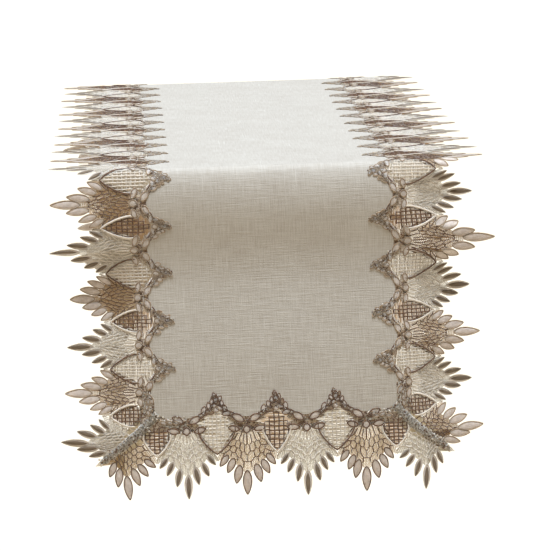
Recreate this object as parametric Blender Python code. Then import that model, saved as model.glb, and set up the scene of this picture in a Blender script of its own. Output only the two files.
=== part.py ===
"""Table runner: a linen panel edged with deep two-tone lace, draped over a table.

The runner lies flat on the table top along Y and hangs over the front (-Y) and rear (+Y) edges.
The origin is the middle of the flat panel's underside, where it rests on the table.  +Z is up.

Every piece is drawn flat, cut at the folds, given its thickness and then bent over the table's edge.
Flat places are (x, s): x runs across the runner and s along it, from the middle.
"""

from collections import namedtuple
from math import cos, pi, radians, sin, tan

import bmesh
import bpy
from mathutils import Vector
from mathutils.geometry import delaunay_2d_cdt

# Lace repeat: one fan and half of the grid panel on each side of it.
SIDE_PITCH = 0.042
END_PITCH = 0.052
SIDE_FANS = 24
END_FANS = 6
SIDE_CORNER_REACH = 0.055  # from the corner side fan's middle to the end fans' tips
END_CORNER_REACH = 0.062  # from the corner end fan's middle to the side fans' tips

# Widths of the border, from the linen's edge outwards.
SIDE_LACE_REACH = 0.084
END_LACE_REACH = 0.072
BRAID_WIDTH = 0.012
SPRIG_LENGTH = 0.020  # how far a leaf sprig reaches in over the linen
MITRE_SEAM_WIDTH = 0.003
LINEN_CORNER_RADIUS = 0.018

# Drape over the table's edges.
DROP_LENGTH = 0.297  # from the start of the fold to the end fans' tips, along the cloth
FOLD_RADIUS = 0.008
FOLD_ANGLE = radians(84)
FOLD_STEPS = 4

LINEN_THICKNESS = 0.0010
LACE_THICKNESS = 0.0014
BRAID_THICKNESS = 0.0018
SEAM_THICKNESS = 0.0016
GAP = 0.0003
FOLD_CLEARANCE = 0.001  # so that a drop's edge swings clear of the fold as it is lifted

# Half of a fan's edge, as shares of the pitch and of the fan's length: notch, then petal tips and valleys.
FAN_NOTCH = (0.500, 0.40)
FAN_EDGE = (
    (0.455, 0.53),
    (0.390, 0.50),
    (0.345, 0.65),
    (0.250, 0.61),
    (0.190, 0.80),
    (0.085, 0.74),
    (0.000, 1.00),
)
CORNER_FAN_EDGE = FAN_EDGE[2:]  # the petal beside the mitre is folded into it

# Half of the braid's inner edge between a fan's middle and a sprig: shares of the pitch and of the sprig's length.
SPRIG_EDGE = ((0.22, 0.10), (0.38, 0.35), (0.44, 0.60), (0.50, 1.00))

Section = namedtuple("Section", "name start end")
Finish = namedtuple("Finish", "name colour roughness")

LINEN_FINISH = Finish("natural_linen", (0.49, 0.42, 0.33), 0.9)
LACE_FINISH = Finish("lace_thread", (0.60, 0.54, 0.46), 0.7)
BRAID_FINISH = Finish("braid_thread", (0.30, 0.24, 0.18), 0.7)
SEAM_FINISH = Finish("seam_thread", (0.33, 0.31, 0.29), 0.8)

# Driven sizes.
SIDE_FAN_PLACES = [(n - (SIDE_FANS - 1) / 2) * SIDE_PITCH for n in range(SIDE_FANS)]
END_FAN_PLACES = [(n - (END_FANS - 1) / 2) * END_PITCH for n in range(END_FANS)]
HALF_LENGTH = SIDE_FAN_PLACES[-1] + SIDE_CORNER_REACH
HALF_WIDTH = END_FAN_PLACES[-1] + END_CORNER_REACH
LINEN_HALF_LENGTH = HALF_LENGTH - END_LACE_REACH
LINEN_HALF_WIDTH = HALF_WIDTH - SIDE_LACE_REACH
BRAID_HALF_LENGTH = LINEN_HALF_LENGTH + BRAID_WIDTH
BRAID_HALF_WIDTH = LINEN_HALF_WIDTH + BRAID_WIDTH
TOP_HALF = HALF_LENGTH - DROP_LENGTH
FOLD_END = TOP_HALF + FOLD_RADIUS * FOLD_ANGLE
DROP_START = FOLD_END + FOLD_CLEARANCE
HINGE_OUT = FOLD_RADIUS * FOLD_ANGLE / 2
HINGE_DROP = FOLD_RADIUS * (1 - FOLD_ANGLE / 2 / tan(FOLD_ANGLE / 2))

SECTIONS = (
    Section("front_drop", -HALF_LENGTH, -DROP_START),
    Section("front_fold", -FOLD_END, -TOP_HALF),
    Section("top", -TOP_HALF, TOP_HALF),
    Section("rear_fold", TOP_HALF, FOLD_END),
    Section("rear_drop", DROP_START, HALF_LENGTH),
)
FRONT_DROP, REAR_DROP = SECTIONS[0], SECTIONS[-1]


def clear_scene():
    for obj in list(bpy.data.objects):
        bpy.data.objects.remove(obj, do_unlink=True)


def make_material(finish):
    material = bpy.data.materials.new(finish.name)
    material.use_nodes = True
    shader = material.node_tree.nodes["Principled BSDF"]
    shader.inputs["Base Color"].default_value = (*finish.colour, 1.0)
    shader.inputs["Roughness"].default_value = finish.roughness
    shader.inputs["Metallic"].default_value = 0.0
    return material


def drape(x, s, lift):
    """Where a point of the flat runner comes to lie, lift above the cloth's underside."""
    beyond = abs(s) - TOP_HALF
    if beyond <= 0:
        return Vector((x, s, lift))
    angle = min(beyond / FOLD_RADIUS, FOLD_ANGLE)
    radius = FOLD_RADIUS + lift
    hanging = max(beyond - FOLD_RADIUS * FOLD_ANGLE, 0)
    out = TOP_HALF + radius * sin(angle) + hanging * cos(FOLD_ANGLE)
    up = radius * cos(angle) - FOLD_RADIUS - hanging * sin(FOLD_ANGLE)
    return Vector((x, out if s > 0 else -out, up))


def fan_edge(length, before, after):
    """A fan's outer edge as (along, out), from one neighbour to the next; before and after are its half edges."""
    return [(-u, w * length) for u, w in before] + [(u, w * length) for u, w in reversed(after[:-1])]


def lace_edge(places, pitch, length):
    """The lace's outer edge as (along, out from the braid), from the first fan's corner notch to the last one's."""
    notch = (FAN_NOTCH[0] * pitch, FAN_NOTCH[1] * length)
    points = [(places[0] - notch[0], notch[1])]
    for number, place in enumerate(places):
        before = CORNER_FAN_EDGE if number == 0 else FAN_EDGE
        after = CORNER_FAN_EDGE if number == len(places) - 1 else FAN_EDGE
        points += [(place + u * pitch, out) for u, out in fan_edge(length, before, after)]
        points.append((place + notch[0], notch[1]))
    return points


def sprig_edge(places, pitch):
    """The braid's inner edge as (along, in over the linen): it touches the linen's edge line at each fan's middle,
    and a leaf sprig reaches in between fans.  The corner fans have no sprig of their own."""
    points = []
    inner = places[1:-1]
    for number, place in enumerate(inner):
        points.append((place, 0.0))
        if number == len(inner) - 1:
            break
        rising = [(u * pitch, w * SPRIG_LENGTH) for u, w in SPRIG_EDGE]
        points += [(place + u, depth) for u, depth in rising]
        points += [(place + pitch - u, depth) for u, depth in reversed(rising[:-1])]
    return points


def corner_points():
    """The mitre's three points at the corner (+x, +s): on the linen, on the braid's outer edge and at the notch."""
    inset = LINEN_CORNER_RADIUS * (1 - cos(pi / 4))
    on_linen = Vector((LINEN_HALF_WIDTH - inset, LINEN_HALF_LENGTH - inset))
    on_braid = Vector((BRAID_HALF_WIDTH, BRAID_HALF_LENGTH))
    side_notch = SIDE_FAN_PLACES[-1] + FAN_NOTCH[0] * SIDE_PITCH
    end_notch = END_FAN_PLACES[-1] + FAN_NOTCH[0] * END_PITCH
    at_notch = Vector((end_notch, side_notch))
    return on_linen, on_braid, at_notch


def mitre_edge(towards_side):
    """The mitre's three points moved half a seam's width to the side lace, or else to the end lace."""
    points = corner_points()
    runs = [(end - start).normalized() for start, end in zip(points, points[1:])]
    headings = (runs[0], (runs[0] + runs[1]).normalized(), runs[1])
    sign = 1 if towards_side else -1
    half = sign * MITRE_SEAM_WIDTH / 2
    return [point + half * Vector((heading.y, -heading.x)) for point, heading in zip(points, headings)]


def linen_corner():
    """The linen's rounded corner at (+x, +s), from the side round to the end."""
    centre_x = LINEN_HALF_WIDTH - LINEN_CORNER_RADIUS
    centre_s = LINEN_HALF_LENGTH - LINEN_CORNER_RADIUS
    turns = [pi / 2 * step / 6 for step in range(7)]
    return [
        (centre_x + LINEN_CORNER_RADIUS * cos(turn), centre_s + LINEN_CORNER_RADIUS * sin(turn))
        for turn in turns
    ]


def linen_outline():
    side = [(LINEN_HALF_WIDTH - depth, s) for s, depth in sprig_edge(SIDE_FAN_PLACES, SIDE_PITCH)]
    end = [(x, LINEN_HALF_LENGTH - depth) for x, depth in sprig_edge(END_FAN_PLACES, END_PITCH)]
    corner = linen_corner()
    outline = side + corner + end[::-1]
    outline += [(-x, s) for x, s in reversed(corner)]
    outline += [(-x, s) for x, s in reversed(side)]
    outline += [(-x, -s) for x, s in corner]
    outline += [(x, -s) for x, s in end]
    outline += [(x, -s) for x, s in reversed(corner)]
    return outline


def border_outlines(towards_side):
    """The braid's and the lace's outlines along the +x side, or along the +s end."""
    if towards_side:
        places, pitch = SIDE_FAN_PLACES, SIDE_PITCH
        linen_half, fan_length = LINEN_HALF_WIDTH, SIDE_LACE_REACH - BRAID_WIDTH
    else:
        places, pitch = END_FAN_PLACES, END_PITCH
        linen_half, fan_length = LINEN_HALF_LENGTH, END_LACE_REACH - BRAID_WIDTH
    linen_end, braid_end, notch_end = mitre_edge(towards_side)

    def flat(along, out):
        return (out, along) if towards_side else (along, out)

    def mirrored(point):
        return (point[0], -point[1]) if towards_side else (-point[0], point[1])

    half_corner = [p for p in linen_corner() if (p[0] - linen_end.x > p[1] - linen_end.y) == towards_side]
    if not towards_side:
        half_corner.reverse()
    inner = [flat(along, linen_half - depth) for along, depth in sprig_edge(places, pitch)]
    inner += half_corner
    braid = [mirrored(p) for p in reversed(half_corner)] + inner
    braid += [tuple(linen_end), tuple(braid_end), mirrored(braid_end), mirrored(linen_end)]
    outer = [flat(along, linen_half + BRAID_WIDTH + out) for along, out in lace_edge(places, pitch, fan_length)]
    outer[0], outer[-1] = mirrored(notch_end), tuple(notch_end)
    lace = outer + [tuple(braid_end), mirrored(braid_end)]
    return braid, lace


def mitre_outline(x_side, s_side):
    """The strip of seam between the side lace and the end lace at one corner."""
    loop = mitre_edge(towards_side=True) + mitre_edge(towards_side=False)[::-1]
    return [(x_side * p.x, s_side * p.y) for p in loop]


def cut(mesh, s, clear_above=False, clear_below=False):
    """Cuts the flat mesh across at s, and clears what lies past it where asked."""
    bmesh.ops.bisect_plane(
        mesh,
        geom=mesh.verts[:] + mesh.edges[:] + mesh.faces[:],
        plane_co=(0, s, 0),
        plane_no=(0, 1, 0),
        clear_outer=clear_above,
        clear_inner=clear_below,
        dist=1e-7,
    )


def flat_sheet(outline, section):
    """The part of an outline that lies in one section, as a flat mesh half a gap inside its edges."""
    points = [Vector(point) for point in outline]
    loop = [(n, (n + 1) % len(points)) for n in range(len(points))]
    places, _, faces, *_ = delaunay_2d_cdt(points, loop, [], 1, 1e-7)
    mesh = bmesh.new()
    vertices = [mesh.verts.new((place.x, place.y, 0)) for place in places]
    for face in faces:
        mesh.faces.new([vertices[n] for n in face])
    cut(mesh, section.end, clear_above=True)
    cut(mesh, section.start, clear_below=True)
    bmesh.ops.recalc_face_normals(mesh, faces=mesh.faces[:])
    if mesh.faces[0].normal.z < 0:
        bmesh.ops.reverse_faces(mesh, faces=mesh.faces[:])
    rim = bmesh.ops.inset_region(mesh, faces=mesh.faces[:], use_boundary=True, use_even_offset=True, thickness=GAP / 2)
    bmesh.ops.delete(mesh, geom=rim["faces"], context="FACES")
    return mesh


def bend_lines():
    """Where a sheet needs an edge across it so that it can follow the folds."""
    steps = [TOP_HALF + (FOLD_END - TOP_HALF) * n / FOLD_STEPS for n in range(1, FOLD_STEPS)]
    return [-step for step in steps] + steps


def thicken(mesh, thickness):
    """Makes the flat mesh a slab whose faces point out, before it is bent."""
    top = bmesh.ops.extrude_face_region(mesh, geom=mesh.faces[:])
    raised = {item for item in top["geom"] if isinstance(item, bmesh.types.BMVert)}
    bmesh.ops.translate(mesh, verts=list(raised), vec=(0, 0, thickness))
    bmesh.ops.recalc_face_normals(mesh, faces=mesh.faces[:])
    mesh.normal_update()
    upper_faces = [face for face in mesh.faces if raised.issuperset(face.verts)]
    if max(upper_faces, key=bmesh.types.BMFace.calc_area).normal.z < 0:
        bmesh.ops.reverse_faces(mesh, faces=mesh.faces[:])


def make_piece(name, outline, section, thickness, material, parent):
    mesh = flat_sheet(outline, section)
    for s in bend_lines():
        if section.start < s < section.end:
            cut(mesh, s)
    thicken(mesh, thickness)
    for vertex in mesh.verts:
        vertex.co = drape(*vertex.co) - parent.location
    data = bpy.data.meshes.new(name)
    mesh.to_mesh(data)
    mesh.free()
    data.materials.append(material)
    piece = bpy.data.objects.new(name, data)
    piece.parent = parent
    bpy.context.scene.collection.objects.link(piece)


def make_parent(name, location):
    empty = bpy.data.objects.new(name, None)
    empty.location = location
    bpy.context.scene.collection.objects.link(empty)
    return empty


def main():
    clear_scene()
    linen, lace, braid, seam = map(make_material, (LINEN_FINISH, LACE_FINISH, BRAID_FINISH, SEAM_FINISH))
    table_top = make_parent("table_top", (0, 0, 0))
    hinges = {
        FRONT_DROP: make_parent("front_hinge", (0, -TOP_HALF - HINGE_OUT, -HINGE_DROP)),
        REAR_DROP: make_parent("rear_hinge", (0, TOP_HALF + HINGE_OUT, -HINGE_DROP)),
    }
    side_braid, side_lace = border_outlines(towards_side=True)
    end_braid, end_lace = border_outlines(towards_side=False)
    for section in SECTIONS:
        parent = hinges.get(section, table_top)
        make_piece(f"linen_{section.name}", linen_outline(), section, LINEN_THICKNESS, linen, parent)
        for side, sign in (("left", -1), ("right", 1)):
            braid_outline = [(sign * x, s) for x, s in side_braid]
            lace_outline = [(sign * x, s) for x, s in side_lace]
            make_piece(f"braid_{side}_{section.name}", braid_outline, section, BRAID_THICKNESS, braid, parent)
            make_piece(f"lace_{side}_{section.name}", lace_outline, section, LACE_THICKNESS, lace, parent)
    for end, sign, section in (("front", -1, FRONT_DROP), ("rear", 1, REAR_DROP)):
        parent = hinges[section]
        braid_outline = [(x, sign * s) for x, s in end_braid]
        lace_outline = [(x, sign * s) for x, s in end_lace]
        make_piece(f"braid_{end}_end", braid_outline, section, BRAID_THICKNESS, braid, parent)
        make_piece(f"lace_{end}_end", lace_outline, section, LACE_THICKNESS, lace, parent)
        for side, x_sign in (("left", -1), ("right", 1)):
            outline = mitre_outline(x_sign, sign)
            make_piece(f"mitre_seam_{end}_{side}", outline, section, SEAM_THICKNESS, seam, parent)


main()
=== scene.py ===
"""Looks for a table runner: slubby linen edged with two-tone lace, braid and mitre seams.

Everything is first worked out on the flat runner, as (x, s, lift): x runs across it and s along it from the
middle of its top, negative towards the front, and lift is the height above the cloth's underside.  The drape
then carries each point to where the cloth lies on the table or hangs over its front and rear edges.
Sizes are in metres, unless a comment says mm.
"""

import logging
from collections.abc import Callable, Sequence
from dataclasses import dataclass, field
from enum import Enum
from math import cos, pi, radians, sin, tau

import bmesh
import bpy
import numpy as np
from mathutils import Matrix, Vector
from mathutils.geometry import delaunay_2d_cdt


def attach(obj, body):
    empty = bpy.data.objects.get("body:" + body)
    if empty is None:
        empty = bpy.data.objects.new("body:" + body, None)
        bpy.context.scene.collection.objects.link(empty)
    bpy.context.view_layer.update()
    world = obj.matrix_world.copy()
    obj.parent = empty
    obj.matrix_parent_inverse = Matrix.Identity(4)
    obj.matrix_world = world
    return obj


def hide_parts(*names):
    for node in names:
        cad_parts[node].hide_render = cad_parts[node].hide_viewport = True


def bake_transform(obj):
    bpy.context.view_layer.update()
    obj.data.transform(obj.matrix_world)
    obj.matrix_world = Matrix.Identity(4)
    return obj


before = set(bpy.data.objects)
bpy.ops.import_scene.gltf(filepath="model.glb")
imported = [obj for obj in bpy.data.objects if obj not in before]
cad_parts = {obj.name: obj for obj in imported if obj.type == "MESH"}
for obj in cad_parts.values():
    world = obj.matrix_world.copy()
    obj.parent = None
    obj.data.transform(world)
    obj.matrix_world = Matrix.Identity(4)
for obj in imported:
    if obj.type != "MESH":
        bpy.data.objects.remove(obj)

MM = 0.001
LAYOUT = "flat_layout"  # the UV layer: metres along and across each thread, or the linen's own x and s

# A colour Mix node also holds the sockets of its other data types, so its own are told apart by number.
MIX_FACTOR, MIX_FIRST, MIX_SECOND, MIX_RESULT = 0, 6, 7, 2

Socket = bpy.types.NodeSocket
Tree = bpy.types.ShaderNodeTree

log = logging.getLogger("table_runner")


# --------------------------------------------------------------------------- sizes of the flat runner


class Border(Enum):
    """The linen's four edges."""

    LEFT = "left"
    RIGHT = "right"
    FRONT = "front"
    REAR = "rear"


class Half(Enum):
    """The two halves of the runner; each crosses one fold."""

    FRONT = "front"
    REAR = "rear"


@dataclass(frozen=True)
class Pattern:
    """Sizes of the flat runner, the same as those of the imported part."""

    side_pitch: float = 0.042
    end_pitch: float = 0.052
    side_fans: int = 24
    end_fans: int = 6
    side_corner_reach: float = 0.055
    end_corner_reach: float = 0.062
    side_reach: float = 0.084
    end_reach: float = 0.072
    braid: float = 0.012
    sprig: float = 0.020
    corner_radius: float = 0.018
    drop: float = 0.297

    @property
    def half_length(self) -> float:
        """From the middle of the top to an end fan's tip."""
        return (self.side_fans - 1) / 2 * self.side_pitch + self.side_corner_reach

    @property
    def half_width(self) -> float:
        """From the centre line to a side fan's tip."""
        return (self.end_fans - 1) / 2 * self.end_pitch + self.end_corner_reach

    @property
    def linen_half_length(self) -> float:
        """From the middle of the top to the linen's end."""
        return self.half_length - self.end_reach

    @property
    def linen_half_width(self) -> float:
        """From the centre line to the linen's side."""
        return self.half_width - self.side_reach

    @property
    def top_half(self) -> float:
        """From the middle of the top to the start of a fold."""
        return self.half_length - self.drop


@dataclass(frozen=True)
class Edge:
    """One edge of the linen, with its run of lace.

    Places on it are (along, out): along the edge from its middle, and outwards from the linen's edge line.
    """

    border: Border
    pattern: Pattern

    @property
    def is_side(self) -> bool:
        """Whether this is one of the long edges."""
        return self.border in (Border.LEFT, Border.RIGHT)

    @property
    def pitch(self) -> float:
        """The length of one lace repeat."""
        return self.pattern.side_pitch if self.is_side else self.pattern.end_pitch

    @property
    def reach(self) -> float:
        """How far the fans' tips stand out from the linen."""
        return self.pattern.side_reach if self.is_side else self.pattern.end_reach

    @property
    def fans(self) -> int:
        """How many fans the run holds."""
        return self.pattern.side_fans if self.is_side else self.pattern.end_fans

    @property
    def outline(self) -> "Thread":
        """The thread round its petals and leaves: the ends are outlined darker than the sides."""
        return Thread.MOSS_CORD if self.is_side else Thread.BROWN_CORD

    @property
    def fan_length(self) -> float:
        """From the braid's outer line to a fan's tip."""
        return self.reach - self.pattern.braid

    def fan_place(self, number: int) -> float:
        """Where a fan's middle lies along the edge."""
        return (number - (self.fans - 1) / 2) * self.pitch

    def lay(self, points: np.ndarray) -> np.ndarray:
        """Carries places on the edge to the flat runner.

        Args:
            points: (along, out) rows.

        Returns:
            (x, s) rows.
        """
        along, out = points[:, 0], points[:, 1]
        across = self.pattern.linen_half_width + out
        lengthwise = self.pattern.linen_half_length + out
        if self.border is Border.LEFT:
            return np.column_stack((-across, along))
        if self.border is Border.RIGHT:
            return np.column_stack((across, along))
        if self.border is Border.FRONT:
            return np.column_stack((along, -lengthwise))
        return np.column_stack((along, lengthwise))


# --------------------------------------------------------------------------- how the cloth hangs


@dataclass(frozen=True)
class Drape:
    """The runner's lie: flat on the table, bent softly over its edge, then hanging with a slight flare."""

    pattern: Pattern
    # Distance past the table's edge along the cloth (mm), and how far the cloth has turned down there
    # (degrees). It turns past the corner quickly, hangs plumb a little below it, and stands off the table
    # further down.
    turns: tuple[tuple[float, float], ...] = (
        (0, 0), (4, 30), (9, 60), (18, 73), (27, 79), (37, 84.5), (50, 90), (66, 91.5), (84, 87.5),
        (108, 81), (140, 80), (200, 83), (300, 86),
    )
    profile_step: float = 0.5  # mm, between the points that the profile is added up at
    profile_spare: float = 20  # mm, that the profile runs on past the last turn
    widening: float = 0.003  # each side of a drop stands this much further out at the bottom
    settling: float = 0.03  # how far past the edge the drop's own ripples take to set in
    ripple: float = 0.0012  # height of the linen's broad ripples at the bottom of a drop
    broad_wave: float = 0.23
    short_wave: float = 0.11
    side_cup: float = 0.0028  # how far a fan of the side lace curls at its tip
    end_cup: float = 0.0022
    resting_cup: float = 0.0009  # the same for lace that lies on the table
    cup_growth: float = 1.5  # the curl grows by this power towards the tip
    tuck: float = 0.35  # share of the drawn-in lace's slack that goes into standing back from the drop
    # Share of the side lace's reach left after its ripples have drawn it in, by distance past the edge (mm).
    left_draw: tuple[tuple[float, float], ...] = (
        (0, 1.0), (32, 1.0), (74, 1.0), (116, 0.83), (158, 0.86), (200, 0.90), (242, 0.95), (297, 0.97)
    )
    right_draw: tuple[tuple[float, float], ...] = (
        (0, 0.95), (32, 0.86), (74, 1.06), (116, 0.82), (158, 0.89), (200, 0.80), (242, 0.89), (297, 0.97)
    )
    rear_draw: float = 0.92  # the same share where the lace lies on the table, at the rear edge
    table: np.ndarray = field(init=False, repr=False)

    def __post_init__(self) -> None:
        """Adds up the profile of a drop."""
        distance, angle = np.array(self.turns).T
        steps = np.arange(0, distance[-1] + self.profile_spare, self.profile_step)
        turned = np.radians(np.interp(steps, distance, angle))
        between = turned[1:] / 2 + turned[:-1] / 2
        out = np.concatenate(([0], np.cumsum(np.cos(between)))) * self.profile_step
        down = np.concatenate(([0], np.cumsum(np.sin(between)))) * self.profile_step
        object.__setattr__(self, "table", np.array((steps * MM, turned, out * MM, down * MM)))

    def place(self, flat: np.ndarray) -> np.ndarray:
        """Carries points of the flat runner to where they hang.

        Args:
            flat: (x, s, lift) rows.

        Returns:
            (x, y, z) rows.
        """
        x, s, lift = flat.T
        width, top_half = self.pattern.linen_half_width, self.pattern.top_half
        beyond = np.clip(np.abs(s) - top_half, 0, None)
        steps, turned, out, down = self.table
        angle = np.interp(beyond, steps, turned)
        settled = np.clip(beyond / self.settling, 0, 1)
        hang = settled**2 * (3 - 2 * settled)
        lace = np.clip(np.abs(x) - width, 0, None)
        facing_left = (x < 0) == (s < 0)
        draws = [np.interp(beyond / MM, *np.array(draw).T) for draw in (self.left_draw, self.right_draw)]
        resting = np.interp(s, (-top_half, top_half), (1.0, self.rear_draw))
        drawn = resting * (1 - hang * (1 - np.where(facing_left, draws[0], draws[1])))
        tuck = lace * np.sqrt(np.clip(1 - drawn**2, 0, 1)) * self.tuck
        spread = self.widening * beyond / self.pattern.drop
        inner = np.minimum(np.abs(x), width) * (1 + spread / width)
        lift = lift + self.waves(x, s, lace, hang, beyond) - tuck * hang
        placed_y = np.minimum(np.abs(s), top_half) + np.interp(beyond, steps, out) + lift * np.sin(angle)
        placed_z = lift * np.cos(angle) - np.interp(beyond, steps, down)
        return np.column_stack((np.sign(x) * (inner + lace * drawn), np.sign(s) * placed_y, placed_z))

    def waves(
        self, x: np.ndarray, s: np.ndarray, lace: np.ndarray, hang: np.ndarray, beyond: np.ndarray
    ) -> np.ndarray:
        """The height of the cloth's own ripples: broad ones in the linen, and one cup to each pair of fans.

        Args:
            x: places across the flat runner.
            s: places along it.
            lace: how far out into the side lace each lies.
            hang: 0 on the table, 1 on a drop.
            beyond: distance past the table's edge.

        Returns:
            The heights.
        """
        pattern = self.pattern
        low = beyond / pattern.drop
        short = np.sin(x * tau / self.short_wave + s * 14 + 0.4)  # slanting, so that no two drops look alike
        broad = np.sin(x * tau / self.broad_wave + 0.9) * low + 0.6 * short * low
        along_side = np.sin(s * tau / (2 * pattern.side_pitch) + np.sign(x) * 0.7)
        cups = along_side * (lace / pattern.side_reach) ** self.cup_growth
        end = np.clip(beyond - (pattern.drop - pattern.end_reach), 0, None) / pattern.end_reach
        end_cups = np.sin(x * tau / (2 * pattern.end_pitch) + 0.5) * end**self.cup_growth
        on_table = (0.5 + 0.5 * cups) * self.resting_cup * (1 - hang)
        hanging = broad * self.ripple + cups * self.side_cup + end_cups * self.end_cup
        return hang * hanging + on_table * (lace > 0)


# --------------------------------------------------------------------------- materials


def linear(colour: str) -> tuple[float, float, float, float]:
    """Turns an sRGB hex colour into Blender's linear one.

    Args:
        colour: "#rrggbb".

    Returns:
        Red, green, blue and full alpha.
    """
    parts = [int(colour[n : n + 2], 16) / 255 for n in (1, 3, 5)]
    red, green, blue = [c / 12.92 if c <= 0.04045 else ((c + 0.055) / 1.055) ** 2.4 for c in parts]
    return red, green, blue, 1.0


def add_node(
    tree: Tree, kind: str, settings: dict | None = None, links: dict | None = None
) -> bpy.types.Node:
    """Adds a node.

    Args:
        tree: the material's node tree.
        kind: the node's type name.
        settings: values for its inputs, by name or number, and for its own properties.
        links: sockets that feed its inputs, by name or number.

    Returns:
        The node.
    """
    node = tree.nodes.new(kind)
    for name, value in (settings or {}).items():
        if isinstance(name, int) or name in node.inputs:
            node.inputs[name].default_value = value
        else:
            setattr(node, name, value)
    for name, socket in (links or {}).items():
        tree.links.new(socket, node.inputs[name])
    return node


FIBRE_IOR = 1.5  # flax, cotton and polyester fibres all lie near it
SHEEN_ROUGHNESS = 0.35
BUMP_STRENGTH = 0.6


class Finish:
    """What every finish shares: a new Principled material, and the layout coordinates it is drawn in."""

    name: str

    def start(
        self, roughness: float, sheen: float, sheen_tint: str
    ) -> tuple[bpy.types.Material, Tree, bpy.types.Node, Socket, Socket]:
        """Starts the material.

        Args:
            roughness: the shader's roughness.
            sheen: weight of the soft fibre sheen.
            sheen_tint: its colour.

        Returns:
            The material, its tree, its shader, and the layout's along and across sockets, in metres.
        """
        material = bpy.data.materials.new(self.name)
        material.use_nodes = True
        tree = material.node_tree
        shader = tree.nodes["Principled BSDF"]
        shader.inputs["Roughness"].default_value = roughness
        shader.inputs["IOR"].default_value = FIBRE_IOR
        shader.inputs["Sheen Weight"].default_value = sheen
        shader.inputs["Sheen Roughness"].default_value = SHEEN_ROUGHNESS
        shader.inputs["Sheen Tint"].default_value = linear(sheen_tint)
        layout = add_node(tree, "ShaderNodeUVMap", {"uv_map": LAYOUT})
        split = add_node(tree, "ShaderNodeSeparateXYZ", links={"Vector": layout.outputs["UV"]})
        return material, tree, shader, split.outputs["X"], split.outputs["Y"]


def stripes(tree: Tree, place: Socket, spacing: float, shift: Socket | None = None) -> Socket:
    """A sine across a socket of metres, from -1 to 1.

    Args:
        tree: the material's node tree.
        place: the socket, in metres.
        spacing: from crest to crest, in metres.
        shift: a socket of metres that pushes the stripes about, if any.

    Returns:
        The sine's socket.
    """
    if shift is not None:
        place = add_node(tree, "ShaderNodeMath", {"operation": "ADD"}, {0: place, 1: shift}).outputs[0]
    scaled = add_node(tree, "ShaderNodeMath", {"operation": "MULTIPLY", 1: tau / spacing}, {0: place})
    return add_node(tree, "ShaderNodeMath", {"operation": "SINE"}, {0: scaled.outputs[0]}).outputs[0]


def patches(
    tree: Tree, along: Socket, across: Socket, along_size: float, across_size: float, detail: float = 2.0
) -> Socket:
    """Noise stretched to patches of a real size.

    Args:
        tree: the material's node tree.
        along: the first way, as a socket of metres.
        across: the second way.
        along_size: size of a patch the first way, in metres.
        across_size: its size the second way.
        detail: the noise's detail.

    Returns:
        The noise's socket, 0 to 1.
    """
    scaled = [
        add_node(tree, "ShaderNodeMath", {"operation": "MULTIPLY", 1: 1 / size}, {0: socket}).outputs[0]
        for socket, size in ((along, along_size), (across, across_size))
    ]
    joined = add_node(tree, "ShaderNodeCombineXYZ", links={"X": scaled[0], "Y": scaled[1]})
    settings = {"Scale": 1.0, "Detail": detail, "Roughness": 0.55}
    noise = add_node(tree, "ShaderNodeTexNoise", settings, {"Vector": joined.outputs[0]})
    return noise.outputs["Fac"]


def blend_colours(
    tree: Tree, factor: Socket, first: str | Socket, second: str | Socket, low: float = 0.0, high: float = 1.0
) -> Socket:
    """Mixes two colours by a socket.

    Args:
        tree: the material's node tree.
        factor: the socket that mixes them.
        first: a hex colour, or a socket.
        second: the other one.
        low: the factor's value up to which the mix is all first.
        high: the value from which it is all second.

    Returns:
        The mixed colour's socket.
    """
    limits = {"From Min": low, "From Max": high, "clamp": True}
    ranged = add_node(tree, "ShaderNodeMapRange", limits, {"Value": factor})
    mix = add_node(tree, "ShaderNodeMix", {"data_type": "RGBA"}, {MIX_FACTOR: ranged.outputs[0]})
    for number, colour in ((MIX_FIRST, first), (MIX_SECOND, second)):
        if isinstance(colour, str):
            mix.inputs[number].default_value = linear(colour)
        else:
            tree.links.new(colour, mix.inputs[number])
    return mix.outputs[MIX_RESULT]


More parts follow.
